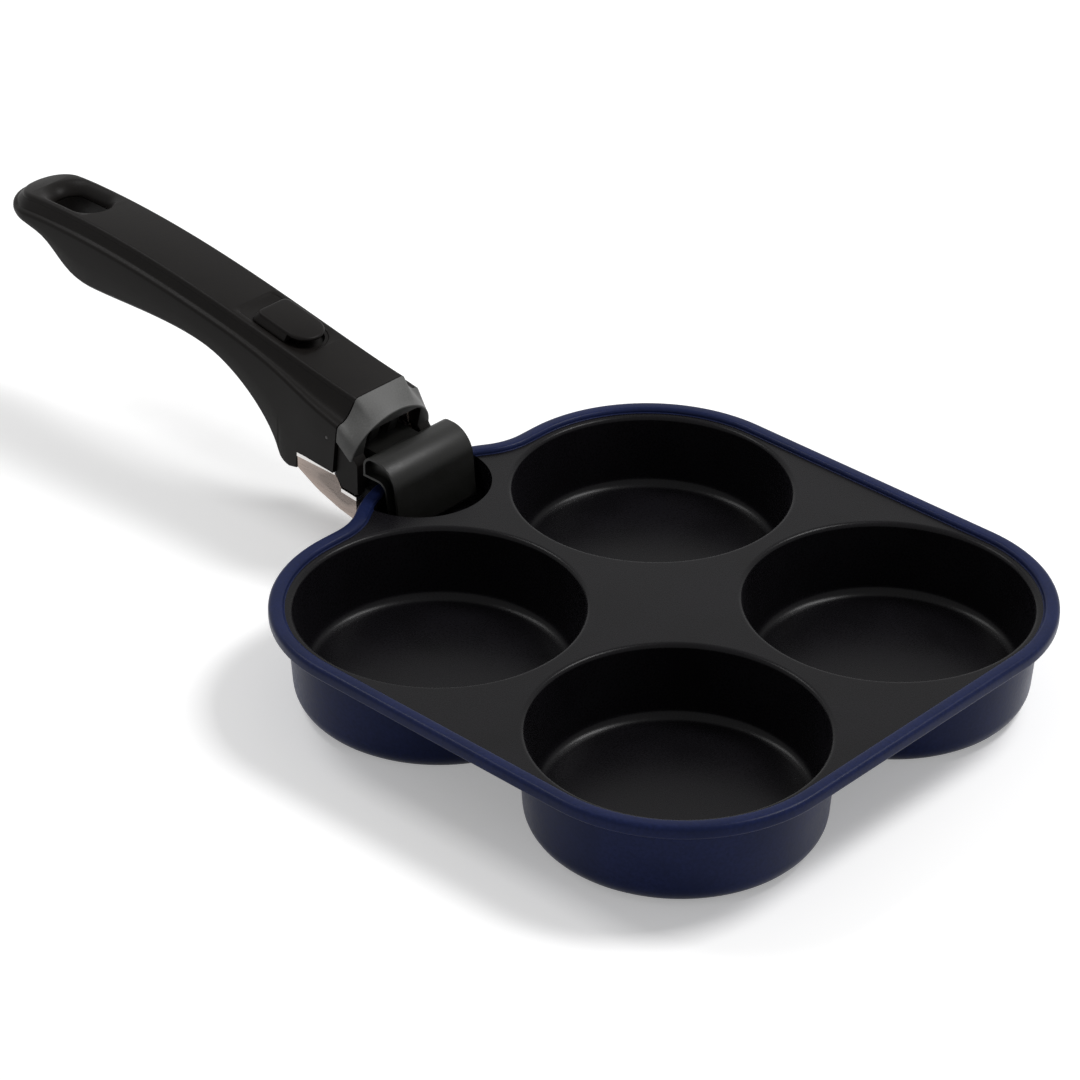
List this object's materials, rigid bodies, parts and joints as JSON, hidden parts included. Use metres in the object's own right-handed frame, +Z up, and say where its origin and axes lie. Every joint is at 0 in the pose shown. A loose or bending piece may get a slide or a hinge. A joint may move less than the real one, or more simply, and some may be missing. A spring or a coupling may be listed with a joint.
{
  "type": "breakfast pan",
  "caption": "Breakfast frying pan with round cups sunk in a rimmed deck, and a clamp handle whose thumb slider opens the hook that grips the pan.",
  "frame": {"origin": "centre of the bounding box in X and Y, at the underside of the cups", "axes": "+X from the handle towards the far cups, +Y to the left of a person holding the handle, +Z up"},
  "size_m": [0.3646, 0.1868, 0.0716],
  "materials": {
    "coated_casting": "cast aluminium, satin navy enamel outside and black non-stick coating inside",
    "grip_plastic": "black moulded nylon, fine satin grain",
    "collar_plastic": "dark grey moulded nylon, satin",
    "steel": "plain stainless steel",
    "bush_plastic": "plain bearing plastic",
    "hook_coating": "pressed steel with a satin black coating",
    "silicone": "matt black silicone"
  },
  "bodies": {
    "pan": {"pan_body": "coated_casting"},
    "handle": {"grip_body": "grip_plastic", "top_cover": "grip_plastic", "collar": "collar_plastic", "chassis": "steel", "outer_jaw_pad": "silicone", "cheek_rivet_left": "steel", "cheek_rivet_right": "steel", "hook_pivot_pin": "steel", "pivot_bush_left": "bush_plastic", "pivot_bush_right": "bush_plastic", "cover_screw_rear": "steel", "cover_screw_left": "steel", "cover_screw_right": "steel", "chassis_screw": "steel", "spring_washer": "steel", "return_spring": "steel"},
    "slider": {"thumb_slider": "grip_plastic", "slider_pin": "steel", "draw_bar": "steel"},
    "hook": {"hook_jaw": "hook_coating", "hook_pad": "silicone", "crank_pin": "steel"}
  },
  "joints": [
    {"name": "handle_lift", "type": "slide", "parent": "pan", "child": "handle", "axis": [0, 0, 1], "range_m": [0, 0.08]},
    {"name": "slider_travel", "type": "slide", "parent": "handle", "child": "slider", "axis": [-0.9839, 0, 0.1786], "range_m": [0, 0.00496], "stiffness_N_per_m": 800, "springref_m": -0.01, "deforming": ["return_spring"]},
    {"name": "hook_swing", "type": "hinge", "parent": "handle", "child": "hook", "pos_m": [-0.0286, 0, 0.0345], "axis": [0, -1, 0], "range_deg": [0, 22]}
  ],
  "couplings": [
    {"joint": "hook_swing", "follows": "slider_travel", "rad_per_m": 77.398}
  ]
}
